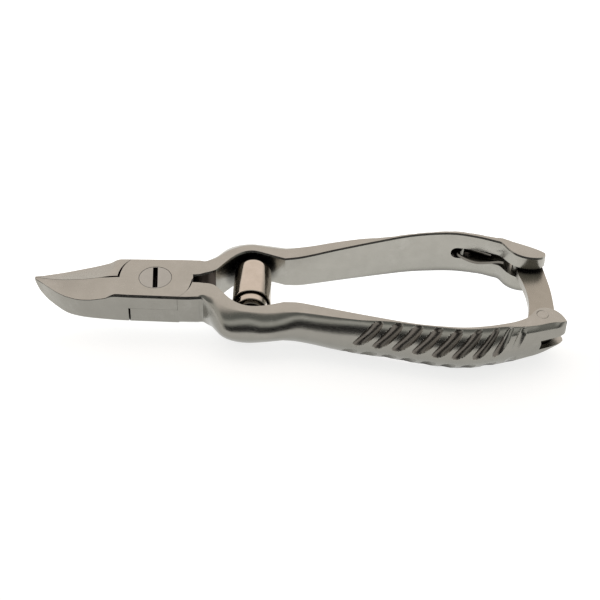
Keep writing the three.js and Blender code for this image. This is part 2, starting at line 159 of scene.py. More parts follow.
# Jaw stations: x, cutting edge z, flank y, flank z, underside z, how far the hollow grind goes.
JAW = [
    (-32, 8, 0.45, 7.95, 7.2, 0.1), (-31.6, 7.93, 0.7, 7.8, 6, 0.3), (-31, 7.85, 1, 7.65, 4.6, 0.6),
    (-30, 7.75, 1.5, 7.35, 3.3, 0.9), (-28.6, 7.55, 2.35, 6.95, 2.2, 1.2), (-26, 7.35, 3.85, 6.3, 1, 1.6),
    (-23.2, 7.4, 5.15, 5.95, 0.1, 1.9), (-20, 7.65, 6.2, 6, 0, 2.1), (-17, 8.05, 6.75, 6.4, 0, 1.9),
    (-14.5, 8.5, 7.02, 7, 0, 1.2), (-12.4, 8.8, 7.2, 7.6, 0, 0.5), (-10.4, 9, 7.38, 8.15, 0, 0.15),
    (-6, 9, 7.55, 8.28, 0, 0.15),
]
# The two forks' cuts, and what moves or sits in them: heights, then plans.
FRONT_SLOT_Z = (2.7, 5.7)
LOCK_BAR_Z = (3.0, 5.4)
BACK_SLOT_X, BACK_SLOT_Z = (79.8, 112), (2.7, 6.3)
WINDOW_Z = (3.1, 4.3)
LEAF_Z = (3.85, 4.75)
FRONT_SLOT = [
    (97.1, -4), (97.1, -14.5), (97.9, -15.9), (99.4, -17.2), (101.8, -17.6), (101.8, -26), (116, -26),
    (116, -4),
]
BACK_WALL = [
    (70, 22.5), (79.8, 22.05), (84, 21.85), (87, 21.3), (91.5, 20), (94.5, 18.9), (96.5, 18.1), (96.5, 31),
    (70, 31),
]
BACK_WINDOW = [(82.4, 8), (82.4, 30), (85.4, 30), (85.4, 8)]

# Outlines of the crown and of the fork ends: share of the way from the land to the middle, slope in degrees.
CROWN_TURNS = ((0, 82), (0.03, 68), (0.2, 56), (0.4, 43), (0.81, 21), (1, 0))
TAIL_TURNS = ((0, 80), (0.03, 48), (0.28, 37), (0.33, 16), (1, 3))
CROWN_STEPS = 26
BOX_STEPS = 9  # how many of them lie on the flat top where the side is square
TURN_STEPS = 400  # small steps that an outline's turns are added up in


# ---- curves --------------------------------------------------------------
def ramp(x, a, b):
    """0 up to a, 1 from b on, and a smooth rise between them."""
    t = min(1.0, max(0.0, (x - a) / (b - a)))
    return t * t * (3 - 2 * t)


def spread(a, b, step):
    """Even places from a to b, about one step apart."""
    n = max(1, round((b - a) / step))
    return [a + (b - a) * k / n for k in range(n + 1)]


def sample(table, x):
    """A station table's other columns at x, on smooth curves through its stations."""
    i = 0
    while i < len(table) - 2 and x > table[i + 1][0]:
        i += 1
    a, b, c, d = table[max(0, i - 1)], table[i], table[i + 1], table[min(len(table) - 1, i + 2)]
    h = c[0] - b[0]
    t = (x - b[0]) / h
    t2, t3 = t * t, t * t * t
    out = []
    for j in range(1, len(b)):
        slope_b = (c[j] - b[j]) / h if b is a else (c[j] - a[j]) / (c[0] - a[0])
        slope_c = (c[j] - b[j]) / h if c is d else (d[j] - b[j]) / (d[0] - b[0])
        value = (2 * t3 - 3 * t2 + 1) * b[j] + (t3 - 2 * t2 + t) * h * slope_b
        out.append(value + (3 * t2 - 2 * t3) * c[j] + (t3 - t2) * h * slope_c)
    return out


def arc(cx, cy, r, start, turn, steps):
    """Points on an arc from the angle start, through the angle turn."""
    angles = [start + turn * k / steps for k in range(steps + 1)]
    return [(cx + r * math.cos(a), cy + r * math.sin(a)) for a in angles]


def circle(cx, cy, r, steps=96):
    return arc(cx, cy, r, 0, 2 * math.pi, steps)[:-1]


def curve(points, cuts=6):
    """A smooth open curve through the points, with some cuts between each two."""
    ends = [points[0], *points, points[-1]]
    out = []
    for i in range(len(points) - 1):
        a, b, c, d = (np.array(p, float) for p in ends[i : i + 4])
        for k in range(cuts):
            t = k / cuts
            square = 2 * a - 5 * b + 4 * c - d
            cube = 3 * b - a - 3 * c + d
            out.append(tuple(0.5 * (2 * b + (c - a) * t + square * t**2 + cube * t**3)))
    out.append(tuple(points[-1]))
    return out


# ---- meshes ----------------------------------------------------------------
def make(name, verts, faces):
    """A mesh object in the scene, with its faces turned outwards."""
    mesh = bpy.data.meshes.new(name)
    mesh.from_pydata([tuple(v) for v in verts], [], faces)
    mesh.validate()
    mesh.update()
    points = np.zeros(len(mesh.vertices) * 3)
    mesh.vertices.foreach_get("co", points)
    points = points.reshape(-1, 3)
    mesh.calc_loop_triangles()
    corners = np.zeros(len(mesh.loop_triangles) * 3, int)
    mesh.loop_triangles.foreach_get("vertices", corners)
    a, b, c = (points[corner] for corner in corners.reshape(-1, 3).T)
    if np.einsum("ij,ij->i", a, np.cross(b, c)).sum() < 0:  # a negative volume
        mesh.flip_normals()
    obj = bpy.data.objects.new(name, mesh)
    bpy.context.scene.collection.objects.link(obj)
    return obj


def loft(name, rings):
    """A solid through rings of points, with a face over the first and the last."""
    n = len(rings[0])
    verts = [point for ring in rings for point in ring]
    faces = []
    for i in range(len(rings) - 1):
        for j in range(n):
            m = (j + 1) % n
            faces.append((i * n + j, i * n + m, (i + 1) * n + m, (i + 1) * n + j))
    last = (len(rings) - 1) * n
    faces.append(tuple(range(n - 1, -1, -1)))
    faces.append(tuple(range(last, last + n)))
    return make(name, verts, faces)


def prism(name, plan, z0, z1):
    return loft(name, [[(x, y, z) for x, y in plan] for z in (z0, z1)])


def rod(name, cx, cy, r, z0, z1, steps=96):
    return prism(name, circle(cx, cy, r, steps), z0, z1)


def turned(name, profile, at, axis, steps):
    """Turns a profile of (radius, along) points about an axis through at.

    A profile that starts off the axis closes on itself into a hollow ring.
    """
    verts, faces, rows = [], [], []
    for r, h in profile:
        if r < 1e-6:
            rows.append([len(verts)])
            verts.append((0, 0, h))
        else:
            rows.append(list(range(len(verts), len(verts) + steps)))
            verts += [(x, y, h) for x, y in circle(0, 0, r, steps)]
    hollow = profile[0][0] > 1e-6
    pairs = list(zip(rows, rows[1:])) + ([(rows[-1], rows[0])] if hollow else [])
    for a, b in pairs:
        for k in range(steps):
            m = (k + 1) % steps
            quad = [a[k % len(a)], a[m % len(a)], b[m % len(b)], b[k % len(b)]]
            face = [q for i, q in enumerate(quad) if q not in quad[:i]]
            if len(face) > 2:
                faces.append(face)
    if axis == "Y":
        verts = [(x, h, y) for x, y, h in verts]
    return make(name, [(at[0] + x, at[1] + y, at[2] + z) for x, y, z in verts], faces)


def swept(name, path, radius, sides):
    """A round wire along a path, drawn in a little at both ends."""
    points = [Vector(p) for p in path]
    last = len(points) - 1
    rings = []
    for i, p in enumerate(points):
        along = (points[min(last, i + 1)] - points[max(0, i - 1)]).normalized()
        aside = Vector((1, 0, 0)) if abs(along.z) > 0.9 else Vector((0, 0, 1))
        u = aside.cross(along).normalized()
        w = along.cross(u)
        r = radius * (0.72 if i in (0, last) else 1.0)
        rings.append([tuple(p + u * x + w * y) for x, y in circle(0, 0, r, sides)])
    return loft(name, rings)


def applied(obj):
    """Replaces the mesh by what its modifiers make of it."""
    bpy.context.view_layer.update()
    done = bpy.data.meshes.new_from_object(obj.evaluated_get(bpy.context.evaluated_depsgraph_get()))
    obj.modifiers.clear()
    old, obj.data = obj.data, done
    bpy.data.meshes.remove(old)
    return obj


def boolean(a, b, how):
    m = a.modifiers.new("cut", "BOOLEAN")
    m.operation = how
    m.solver = "MANIFOLD"
    m.object = b
    applied(a)
    bpy.data.objects.remove(b)
    if len(a.data.polygons) == 0:
        raise RuntimeError("an empty boolean on " + a.name)
    return a


def cut(a, b):
    return boolean(a, b, "DIFFERENCE")


def add(a, b):
    return boolean(a, b, "UNION")


def bevelled(obj, width, segments, angle=40):
    m = obj.modifiers.new("edges", "BEVEL")
    m.width = width
    m.segments = segments
    m.limit_method = "ANGLE"
    m.angle_limit = math.radians(angle)
    m.use_clamp_overlap = True
    return applied(obj)


def tidied(obj):
    """Joins the flat scraps the booleans leave into whole faces."""
    bm = bmesh.new()
    bm.from_mesh(obj.data)
    bmesh.ops.remove_doubles(bm, verts=bm.verts, dist=0.002)
    bmesh.ops.dissolve_limit(bm, angle_limit=math.radians(0.35), verts=bm.verts, edges=bm.edges)
    bm.to_mesh(obj.data)
    bm.free()
    return obj


def placed(obj, body, nodes, material, angle=22):
    """Turns millimetres into metres, shades the piece and puts it on its body."""
    mesh = obj.data
    mesh.transform(Matrix.Diagonal((MM, MM, MM, 1)))
    mesh.shade_smooth()
    mesh.set_sharp_from_angle(angle=math.radians(angle))
    mesh.materials.clear()
    mesh.materials.append(material)
    even = obj.modifiers.new("even_shading", "WEIGHTED_NORMAL")
    even.keep_sharp = True
    even.weight = 60
    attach(obj, body)
    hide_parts(*nodes)
    return obj


# ---- levers ------------------------------------------------------------------
CROWNS = {}


def slope_sums(turns, power=1.0):
    """Adds up small steps along an outline whose slope follows the turns; gives y, z and the slope."""
    shares = (np.arange(TURN_STEPS) + 0.5) / TURN_STEPS
    slope = np.radians(np.interp(shares**power, *zip(*turns)))
    return np.sin(slope).cumsum(), np.cos(slope).cumsum(), slope


def crown_profile(ratio):
    """A quarter of the crown from the land (0, 1) to the middle (1, 0), with its outward slope angles.

    ratio is the crown's width over its height; the turn is drawn earlier or later along it to suit.
    """
    key = round(max(0.06, min(1.4, ratio)), 2)
    if key in CROWNS:
        return CROWNS[key]
    low, high = 0.15, 6.0
    for _ in range(24):
        power = (low + high) / 2
        y, z, slope = slope_sums(CROWN_TURNS, power)
        if y[-1] / z[-1] > key:
            high = power
        else:
            low = power
    out = [(0.0, 1.0, CROWN_TURNS[0][1])]
    for k in range(1, CROWN_STEPS + 1):
        i = round((k / CROWN_STEPS) ** 1.15 * TURN_STEPS) - 1
        out.append((float(y[i] / y[-1]), float(1 - z[i] / z[-1]), math.degrees(slope[i])))
    CROWNS[key] = out
    return out


def box_point(k, crown, half):
    """The same quarter where the side is square by the joint: flat top, chamfer, upright face."""
    flat = 1 - CHAMFER[0] / crown
    if k <= BOX_STEPS:
        return k / BOX_STEPS * flat, 1.0
    t = (k - BOX_STEPS - 1) / (CROWN_STEPS - BOX_STEPS - 1)
    return 1.0, (1 - CHAMFER[1] / half) * (1 - t)


TAIL_Y, TAIL_Z, _ = slope_sums(TAIL_TURNS)


def tail_point(k):
    """The same quarter where the side is rounded over near the fork ends."""
    i = max(0, round((k / CROWN_STEPS) ** 1.3 * TURN_STEPS) - 1)
    return float(TAIL_Y[i] / TAIL_Y[-1]), float(1 - TAIL_Z[i] / TAIL_Z[-1])


def flute(station, share):
    """How deep a flute is at a sheared station; share runs it out towards its ends."""
    for k, deepest in enumerate(FLUTE_DEPTH):
        across = FLUTE_ACROSS * (station - FLUTE_START - FLUTE_PITCH * k)
        if abs(across) < FLUTE_R:
            return max(0.0, math.sqrt(FLUTE_R * FLUTE_R - across * across) - (FLUTE_R - deepest * share))
    return 0.0


def lean(station):
    """How far a station shifts along X from the middle to the land, so that the flutes slant."""
    return FLUTE_LEAN * ramp(station, *LEAN_STARTS) * (1 - ramp(station, *LEAN_ENDS))


def facing(crown, tall, y, z):
    """How far out a point of the crown lies along the flutes' own normal."""
    return crown * y * math.cos(FLUTE_TILT) + tall * z * math.sin(FLUTE_TILT)


def fade(crown, tall, y, z):
    """The flutes are straight cuts: deepest where the crown bulges, gone at the land and at the middle.

    A second, shorter set starts again below the middle.
    """
    high = max(facing(crown, tall, *p[:2]) for p in crown_profile(crown / tall))
    share = max(0.0, 1 - (high - facing(crown, tall, y, z)) / max(FLUTE_DEPTH))
    rise = math.degrees(math.asin(max(-1, min(1, z))))
    if rise > 45:
        return max(share, 0.35) * (1 - ramp(rise, 66, 89))
    return share + ramp(-rise, 22, 36) * (1 - ramp(-rise, 50, 86))


def land_edge(x, inner, land):
    """Where the flat land ends and the crown starts; it narrows along the grip."""
    narrow = 0.65 * ramp(x, *LAND_NARROWS) * (1 - ramp(x, *LAND_WIDENS))
    return inner + max(land - narrow, LAND_LEAST)


def handle_ring(table, under, station, side):
    """A handle's outline at a station: inner face, top land, crown, and the land underneath."""
    straight = table is BOW
    shift = 0.0 if straight else lean(station)

    def row(height):
        """The section's sizes at a height from -1 to 1, where the station's slant has carried it along X."""
        x = station + shift * height * (0.5 if height < 0 else 1)
        inner, land, outer, half = sample(table, x)
        share = 1.0 if straight else sample(under, x)[0]
        return x, inner, land_edge(x, inner, land), outer, half, half * share

    def land_row(height):
        x, inner, edge, outer, half, deep = row(height)
        start = inner + INNER_EDGE[0]
        z = half if height > 0 else -deep
        return [(x, start + (edge - start) * k / 3, z) for k in range(4)]

    ring = []
    for height in (-1, -0.5, 0, 0.5, 1):
        x, inner, edge, outer, half, deep = row(height)
        ring.append((x, inner, ((deep if height < 0 else half) - INNER_EDGE[1]) * height))
    ring += land_row(1)
    x, inner, edge, outer, half, deep = row(1)
    base = crown_profile(max(0.3, outer - edge) / half)
    for k in range(1, 2 * CROWN_STEPS):
        up = k <= CROWN_STEPS
        j = k if up else 2 * CROWN_STEPS - k
        way = 1 if up else -1
        x, inner, edge, outer, half, deep = row(way * base[j][1])
        root = 1 - ramp(x, *ROOT_ENDS)
        tail = ramp(x, *TAIL_STARTS)
        crown, tall = max(0.3, outer + 0.16 * root - edge), half if up else deep
        y, z, slope = crown_profile(crown / tall)[j]
        if root:
            square_y, square_z = box_point(j, crown, tall)
            y, z = y + (square_y - y) * root, z + (square_z - z) * root
        if tail:
            tail_y, tail_z = tail_point(j)
            y, z = y + (tail_y - y) * tail, z + (tail_z - z) * tail
        depth = 0.0 if straight else flute(station, fade(crown, tall, y, way * z))
        slope = math.radians(slope * (1 - tail))
        out_y = edge + crown * y - depth * math.cos(slope)
        ring.append((x, out_y, way * (tall * z - depth * math.sin(slope))))
    ring += reversed(land_row(-1))
    return [(x, side * y, MID + z) for x, y, z in ring]


def grip_stations(end):
    """Stations along a grip: close together in each flute and at the rounded end, wider between."""
    last = end[-1][0]
    reach = [math.sqrt(FLUTE_R**2 - (FLUTE_R - depth) ** 2) / FLUTE_ACROSS for depth in FLUTE_DEPTH]
    xs = spread(GRIP_X, FLUTE_START - reach[0] - 0.25, 0.7)
    for k in range(FLUTES):
        centre = FLUTE_START + FLUTE_PITCH * k
        xs += [centre - reach[k] * math.cos(math.pi * i / 20) for i in range(21)]
        if k + 1 < FLUTES:
            xs += spread(centre + reach[k] + 0.15, centre + FLUTE_PITCH - reach[k + 1] - 0.15, 0.45)
    xs += spread(centre + reach[-1] + 0.2, last - 2.4, 0.4)
    xs += [last - 2.4 * (1 - k / 12) ** 1.5 for k in range(1, 13)]
    xs = sorted(xs)
    return [x for i, x in enumerate(xs) if i == 0 or x - xs[i - 1] > 0.02]


def handle(name, end, under, side):
    rings = [handle_ring(BOW, under, x, side) for x in spread(BOW[0][0], GRIP_X, 0.4)]
    rings += [handle_ring(GRIP + end, under, x, side) for x in grip_stations(end)[1:]]
    return loft(name, rings)


def jaw(name, side):
    """A jaw from its tip back into the joint: cutting edge, hollow grind on the inside, rounded flank."""
    rings = []
    steps = 18
    for x in spread(JAW[0][0], JAW[-1][0], 0.3):
        blade, flank, shoulder, under_z, relief = sample(JAW, x)
        gap = JAW_GAP[0] + (JAW_GAP[1] - JAW_GAP[0]) * ramp(x, *JAW_WIDENS)
        corner = min(0.15, 0.2 * (shoulder - under_z), 0.25 * (flank - gap))
        hollow = min(relief, 0.6 * (flank - corner - gap))
        tall = blade - under_z
        ring = [(gap, blade), (gap, blade - 0.2 * tall), (gap + hollow * 0.35, blade - 0.45 * tall)]
        ring += [(gap + hollow * 0.8, blade - 0.8 * tall), (gap + hollow, under_z)]
        ring += [(flank - corner, under_z), (flank, under_z + corner)]
        flush = ramp(x, *JAW_SQUARES)  # 1 where the jaw has the joint's own square section
        for k in range(steps):
            t = 1 - max(0, k - 1) / (steps - 1)
            y, z = gap + (flank - 0.08 - gap) * t, shoulder + (blade - shoulder) * (1 - t) ** 1.15
            square_y, square_z = gap + (flank - CHAMFER[0] - gap) * t, blade
            if k == 0:
                y, z, square_y, square_z = flank, shoulder - 0.17, flank, blade - CHAMFER[1]
            ring.append((y + (square_y - y) * flush, z + (square_z - z) * flush))
        rings.append([(x, side * y, z) for y, z in ring])
    return loft(name, rings)


def joint_side(x):
    return SIDE_HALF + SIDE_FLARE * x


def plate(name, z0, z1, top):
    """A lever's half of the lap joint: a disc between two chamfered sides."""
    front, back = PLATE_ENDS
    strip = [(front, -joint_side(front)), (back, -joint_side(back)), (back, joint_side(back))]
    strip.append((front, joint_side(front)))
    plan = []
    for x, y in circle(0, 0, 1, 160):
        r = PLATE_R
        if x < 0:  # the clearance in front of the other jaw
            r -= 0.52 * (1 - ramp(abs(y), 0.12, 0.8)) if top else 0.3
        elif top and y < 0:  # and behind it, by the front handle's root
            r -= 0.3 * (1 - ramp(-y, 0.2, 0.55))
        plan.append((r * x, r * y))
    body = prism(name, plan, z0, z1)
    body = boolean(body, prism("strip", strip, z0 - 1, z1 + 1), "INTERSECT")
    z, way, across, down = (z1, -1, *CHAMFER) if top else (z0, 1, 0.15, 0.15)
    for side in (-1, 1):
        rings = []
        for x in PLATE_ENDS:
            y = side * joint_side(x)
            inside, outside = y - side * across, y + side * 2
            rings.append([
                (x, inside, z), (x, inside, z - way * 2), (x, outside, z - way * 2),
                (x, outside, z + way * down), (x, y, z + way * down),
            ])
        body = cut(body, loft("chamfer", rings))
    return body


def lever(name, jaw_side, end, under, top):
    """Jaw and handle on opposite sides, with the other lever's plate cleared away and this one's put in."""
    z0, z1 = (MID + LAP, TOP) if top else (0.0, MID - LAP)
    body = add(jaw(name, jaw_side), handle("handle", end, under, -jaw_side))
    a, b = (-6, MID + LAP) if top else (MID - LAP, 20)
    body = cut(body, rod("clear", 0, 0, SHOULDER_R, a, b, 128))
    return add(body, plate("plate", z0, z1, top))


def stud_bore(side):
    """The blind hole in a bow for its stud's shank."""
    near, far = sorted(side * y for y in STUD_BORE_Y)
    profile = [(0, near), (STUD_BORE_R, near), (STUD_BORE_R, far), (0, far)]
    return turned("hole", profile, BARREL_AT, "Y", 48)


def pin_bore(at, r, z0, z1, steps=96):
    return rod("hole", *at, r + PIN_GAP, z0, z1, steps)


def build_front_lever():
    body = lever("front_lever_steel", 1, FRONT_END, FRONT_UNDER, False)
    body = cut(body, rod("hole", 0, 0, SCREW_SHANK_R + 0.05, 0.9, 20))
    body = cut(body, prism("slot", FRONT_SLOT, *FRONT_SLOT_Z))
    body = cut(body, pin_bore(LOCK_PIN, LOCK_PIN_R, -9, 18))
    return tidied(cut(body, stud_bore(-1)))


def back_pocket():
    """The slot of the back fork: round at its closed end, and stopped short of the grip's outer wall."""
    (x0, x1), (z0, z1) = BACK_SLOT_X, BACK_SLOT_Z
    r = (z1 - z0) / 2
    plan = [(x1, z0), (x1, z1)] + arc(x0 + r, (z0 + z1) / 2, r, math.pi / 2, math.pi, 20)
    pocket = loft("slot", [[(x, y, z) for x, z in plan] for y in (4, 30)])
    return cut(pocket, prism("wall", BACK_WALL, 0, 9))


def build_back_lever():
    body = lever("back_lever_steel", -1, BACK_END, BACK_UNDER, True)
    body = cut(body, rod("hole", 0, 0, SCREW_SHANK_R + 0.05, -1, 20))
    body = cut(body, rod("seat", 0, 0, SCREW_HEAD_R + 0.06, SCREW_HEAD_Z - 0.05, 20, 128))
    body = cut(body, back_pocket())
    body = cut(body, prism("window", BACK_WINDOW, *WINDOW_Z))
    body = cut(body, pin_bore(CATCH_PIN, CATCH_PIN_R, -9, 8.9))
    body = cut(body, pin_bore(SPRING_PIN, SPRING_PIN_R, -9, 8.9, 48))
    return tidied(cut(body, stud_bore(1)))


def paint_shade_on(obj, material, wanted):
    """Gives a placed piece's wanted faces a material of their own; here that material paints shade on them.
    """
    obj.data.materials.append(material)
    for face in obj.data.polygons:
        x, y, z = face.center / MM
        if wanted(x, abs(y), z - MID, face.normal):
            face.material_index = len(obj.data.materials) - 1


def in_flute(x, y, z, normal):
    """Whether a place lies below the uncut crown, inside the upper flutes."""
    if z < FLUTE_SHADE_LOWEST or not FLUTE_SHADE_X[0] < x < FLUTE_SHADE_X[1]:
        return False
    inner, land, outer, half = sample(GRIP, x)
    edge = land_edge(x, inner, land)
    heights, widths = zip(*[p[1::-1] for p in reversed(crown_profile((outer - edge) / half))])
    uncut = edge + (outer - edge) * np.interp(abs(z) / half, heights, widths)
    return y > edge + 0.15 and uncut - y > FLUTE_SHADE_DEPTH


def in_notch(x, y, z, normal):
    """Whether a face stands upright in the narrow notch behind the joint."""
    return NOTCH_X[0] < x < NOTCH_X[1] and y < NOTCH_HALF and abs(normal.z) < 0.5


# ---- small pieces ------------------------------------------------------------
def build_screw():
    """A flat head with a V-shaped driver slot, on a plain shank."""
    profile = [(0, 0.95), (2.5, 0.95), (SCREW_SHANK_R, 1.05), (SCREW_SHANK_R, SCREW_HEAD_Z)]
    profile += [(4.2, SCREW_HEAD_Z), (SCREW_HEAD_R, 6.7)]
    profile += arc(SCREW_HEAD_R - 0.14, 8.86, 0.14, 0, math.pi / 2, 5) + [(0, TOP)]
    screw = turned("pivot_screw_head", profile, (0, 0, 0), "Z", 128)
    across, along = math.cos(DRIVER_TURN), math.sin(DRIVER_TURN)
    section = [(-0.64, 12), (-0.64, 8.35), (0, 7.3), (0.64, 8.35), (0.64, 12)]
    rings = [[(x * across - y * along, x * along + y * across, z) for x, z in section] for y in (-4.05, 4.05)]
    return bevelled(tidied(cut(screw, loft("driver", rings))), 0.05, 2, 50)


def build_outer_sleeve():
    """Open towards the front handle, and rounded over round a small hole at the back one."""
    wall = [(4.6, -4.62), (4.68, -4.76), (4.8, -4.8), (4.98, -4.78), (5.1, -4.68), (5.15, -4.5), (5.15, -1.0)]
    wall += [(5.15 - 0.15 * ramp(y, -1, 6.8), y) for y in spread(-0.5, 6.8, 0.69)]
    wall += [(4.97, 7.3), (4.9, 7.75), (4.76, 8.12), (4.55, 8.44), (4.25, 8.72), (3.85, 8.98), (3.4, 9.2)]
    wall += [(2.85, 9.36), (2.65, 9.36), (2.65, 8.6), (3.2, 8.3), (3.8, 7.7), (4.2, 6.9), (4.5, 6.3)]
    wall += [(4.6, 5.9)]
    return turned("outer_barrel_sleeve", wall, BARREL_AT, "Y", 128)


def build_inner_sleeve():
    """Slides in the outer one, with a narrow neck and a small hole at the front handle."""
    wall = [(3.7, 4.6), (3.7, -6.2), (2.5, -6.5), (2.5, -8.2), (2.58, -8.3), (3.32, -8.3), (3.5, -8.24)]
    wall += [(3.58, -8.1), (3.58, -7.5), (4.1, -7.45), (4.3, -7.36), (4.4, -7.15), (4.4, 4.5), (4.3, 4.6)]
    return turned("inner_barrel_sleeve", wall, BARREL_AT, "Y", 128)


def build_coil():
    path = []
    count = COIL_TURNS * COIL_STEPS
    for k in range(count + 1):
        a = 2 * math.pi * k / COIL_STEPS
        y = COIL_Y[0] + (COIL_Y[1] - COIL_Y[0]) * k / count
        path.append((BARREL_X + COIL_R * math.cos(a), y, MID + COIL_R * math.sin(a)))
    return swept("barrel_coil", path, WIRE_R, 12)


def build_stud(name, side):
    """A ball-ended stud, whose shank goes into the bow."""
    profile = [
        (0, 7.7), (0.8, 7.72), (1.25, 7.85), (1.65, 8.1), (1.86, 8.45), (1.9, 8.9), (1.86, 9.4), (1.65, 9.85),
        (1.5, 10.1), (1.5, 13.1), (1.4, 13.2), (0, 13.2),
    ]
    if side < 0:
        profile = [(r, -h) for r, h in reversed(profile)]
    return turned(name, profile, BARREL_AT, "Y", 64)


def build_lock_bar():
    """A bar from the eye round the lock pin to the hook by the catch pin."""
    eye = arc(*LOCK_PIN, 3.2, math.pi * 0.93, math.pi * 1.14, 48)
    outer = curve([
        (105.6, -8.5), (105.8, -4.5), (105.75, 0), (105.5, 4), (105, 8), (104.6, 11), (104.2, 13.6),
        (103.4, 15.6), (102.2, 16.9), (100.6, 17.3), (99.2, 17),
    ])
    hook = curve([(99.1, 16.4), (100.3, 15.9), (100.7, 14.8), (100.3, 13.2), (99.2, 12.3), (97.8, 12.1)])
    inner = curve([(97.3, 11), (97.7, 8.6), (98.5, 5.4), (99.1, 2), (99.3, -1.5), (99.1, -5), (98.4, -8.5)])
    bar = prism("lock_bar_steel", eye + outer + hook + inner, *LOCK_BAR_Z)
    return bevelled(cut(bar, pin_bore(LOCK_PIN, LOCK_PIN_R, 0, 9)), 0.16, 3)


def build_pin(name, at, r, z0, z1, dome=0.1):
    """A rivet with shallow domed ends."""
    quarter = arc(0, 0, 1, 0, math.pi / 2, 6)
    under = [(r * y, z0 + dome - dome * x) for x, y in quarter]
    over = [(r * x, z1 - dome + dome * y) for x, y in quarter]
    return turned(name, under + over, (*at, 0), "Z", 64)


def build_lock_spring():
    """A leaf bent round its pin, with both legs reaching towards the catch."""
    line = curve([
        (94.2, 15.3), (92.7, 15.65), (90, 15.2), (87, 15.05), (84.6, 15.9), (82.8, 17.3), (81.6, 18.7),
        (81.35, 20.1), (82, 21.1), (83.2, 21.35), (85, 20.75), (88, 19.6), (91, 18.3),
    ], 12)
    line = [np.array(p) for p in line]
    left, right = [], []
    for i, p in enumerate(line):
        along = line[min(len(line) - 1, i + 1)] - line[max(0, i - 1)]
        along = along / np.linalg.norm(along)
        aside = np.array([-along[1], along[0]]) * 0.22
        left.append(tuple(p + aside))
        right.append(tuple(p - aside))
    leaf = prism("lock_leaf_spring", left + right[::-1], *LEAF_Z)
    return bevelled(leaf, 0.1, 2, 60)


# ---- materials -----------------------------------------------------------------
def cleared(owner):
    """The empty node tree of a material or a world."""
    owner.use_nodes = True
    owner.node_tree.nodes.clear()
    return owner.node_tree


def node(tree, kind, feeds, **settings):
    """Adds a node. feeds gives an input either a constant, set on its socket, or an output to link to it."""
    made = tree.nodes.new(kind)
    for setting, value in settings.items():
        setattr(made, setting, value)
    for socket, value in feeds.items():
        if isinstance(value, bpy.types.NodeSocket):
            tree.links.new(value, made.inputs[socket])
        else:
            made.inputs[socket].default_value = value
    return made


def noise(tree, vector, scale, detail, roughness):
    feeds = {"Vector": vector, "Scale": scale, "Detail": detail, "Roughness": roughness}
    return node(tree, "ShaderNodeTexNoise", feeds).outputs["Fac"]


def remap(tree, value, source, target=(0.0, 1.0), shape="LINEAR"):
    """Carries a value from one range to another."""
    feeds = {"Value": value, "From Min": source[0], "From Max": source[1]}
    feeds |= {"To Min": target[0], "To Max": target[1]}
    return node(tree, "ShaderNodeMapRange", feeds, interpolation_type=shape).outputs["Result"]


def mix(tree, factor, a, b, blend="MIX"):
    feeds = {"Factor": factor, "A": a, "B": b}
    return node(tree, "ShaderNodeMix", feeds, data_type="RGBA", blend_type=blend).outputs["Result"]


def maths(tree, operation, a, b):
    return node(tree, "ShaderNodeMath", {0: a, 1: b}, operation=operation).outputs[0]


def steel(name, base, dark, rough, swing, scratch, grain_scale, depth=0.00002, blotch=0.5, scuff=0.16):
    """Brushed or polished steel: fine scratches one way, cloudy blotches, pale scuffs, and painted shade that
    darkens the colour in recesses.

    rough and swing are the roughness and how far it varies; scratch and depth are how the scratches show.
    """
    material = bpy.data.materials.new(name)
    tree = cleared(material)
    place = node(tree, "ShaderNodeTexCoord", {}).outputs["Object"]
    stretch = {"Vector": place, "Scale": grain_scale, "Rotation": (0.0, 0.0, math.radians(8))}
    grain = noise(tree, node(tree, "ShaderNodeMapping", stretch).outputs["Vector"], 1.0, 5.0, 0.65)
    cloud = noise(tree, place, 260.0, 4.0, 0.6)
    wear = noise(tree, place, 95.0, 8.0, 0.75)
    colour = mix(tree, remap(tree, cloud, (0.35, 0.68), (0.0, blotch)), (*base, 1), (*dark, 1))
    colour = mix(tree, remap(tree, wear, (0.56, 0.72), (0.0, scuff)), colour, (0.55, 0.54, 0.52, 1))
    # Painted shade: ambient occlusion darkens the base colour in creases, corners and recesses.
    painted_recess_shade = node(tree, "ShaderNodeAmbientOcclusion", {"Distance": 0.0028}, samples=14).outputs["AO"]
    colour = mix(tree, 1.0, colour, remap(tree, painted_recess_shade, (0.45, 0.92), (0.2, 1.0)), "MULTIPLY")
    bump = node(tree, "ShaderNodeBump", {"Strength": scratch, "Distance": depth, "Height": grain})
    surface = node(tree, "ShaderNodeBsdfPrincipled", {
        "Base Color": colour,
        "Metallic": 1.0,
        "Roughness": remap(tree, grain, (0.3, 0.7), (rough - swing, rough + swing)),
        "Normal": bump.outputs["Normal"],
    })
    node(tree, "ShaderNodeOutputMaterial", {"Surface": surface.outputs["BSDF"]})
    return material


ALONG_X = (500.0, 5200.0, 5200.0)
SATIN = steel("satin_steel_finish", (0.308, 0.3, 0.27), (0.268, 0.26, 0.232), 0.235, 0.045, 0.35, ALONG_X)
